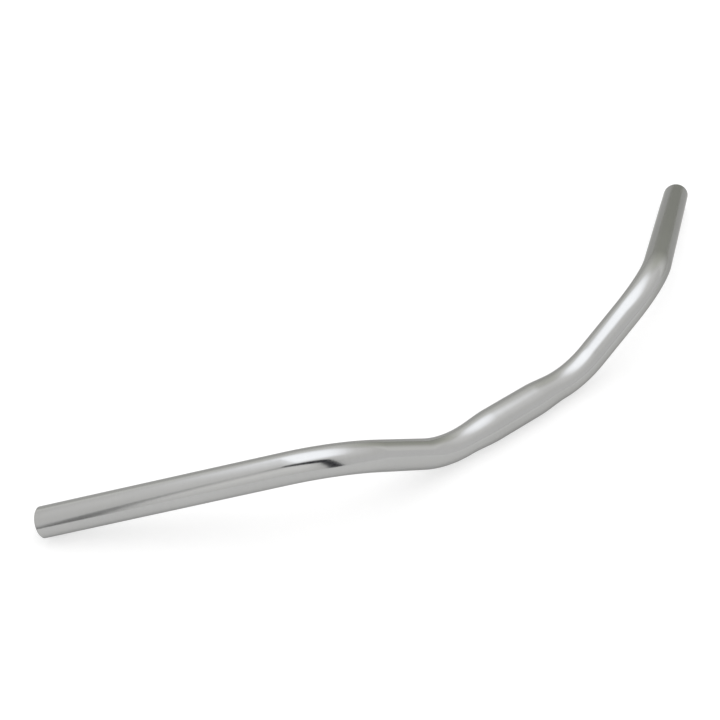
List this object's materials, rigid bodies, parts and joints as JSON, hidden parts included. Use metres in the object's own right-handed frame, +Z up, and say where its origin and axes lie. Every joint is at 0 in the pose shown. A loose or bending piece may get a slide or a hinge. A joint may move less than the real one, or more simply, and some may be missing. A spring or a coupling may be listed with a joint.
{
  "type": "bicycle handlebar",
  "caption": "Swept-back bicycle handlebar bent from one polished aluminium tube, thicker in the middle where the stem clamps it, with open ends.",
  "frame": {"origin": "centre of the clamped middle, on the tube's axis", "axes": "+X along the clamped middle towards the right-hand grip, +Y towards the rider, the side that the grips sweep to, +Z up with the bar lying on a table on its middle and the tips of both grips"},
  "size_m": [0.6566, 0.1429, 0.0644],
  "materials": {
    "polished_aluminium": "polished"
  },
  "bodies": {
    "root": {"handlebar": "polished_aluminium"}
  },
  "joints": []
}
